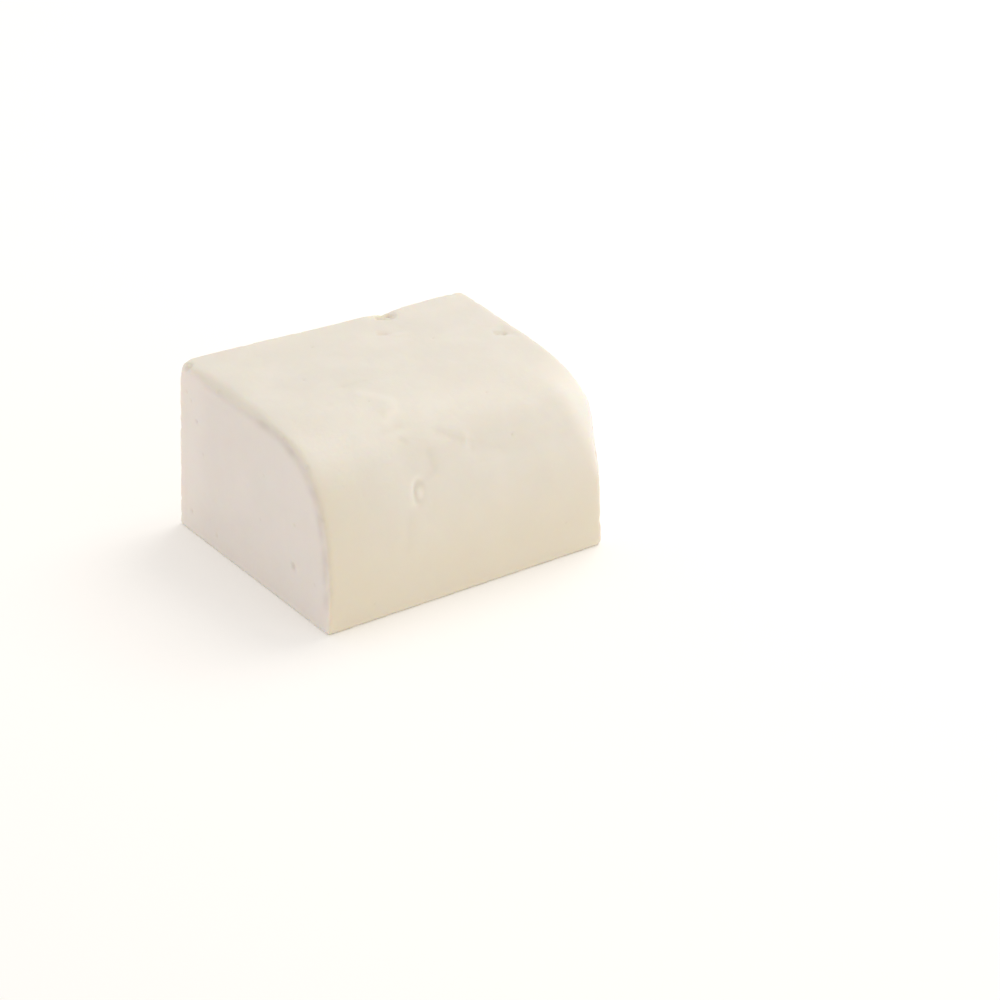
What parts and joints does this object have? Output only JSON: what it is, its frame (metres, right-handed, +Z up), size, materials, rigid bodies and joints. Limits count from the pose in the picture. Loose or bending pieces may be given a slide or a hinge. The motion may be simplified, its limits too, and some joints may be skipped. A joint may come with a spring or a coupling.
{
  "type": "domiati cheese block",
  "caption": "Block of soft white brined domiati cheese cut from a moulded loaf, with a round moulded shoulder, knife-cut ends and back, and a flat base.",
  "frame": {"origin": "middle of the block's footprint, on the surface it rests on", "axes": "+X along the loaf, from the near cut end to the far cut end; +Y from the moulded front to the back cut; +Z up"},
  "size_m": [0.1208, 0.1032, 0.0651],
  "materials": {
    "cheese_block": "off-white moist cheese paste, satin on the moulded skin and slightly grainy on the knife cuts"
  },
  "bodies": {
    "root": {"cheese_block": "cheese_block"}
  },
  "joints": []
}
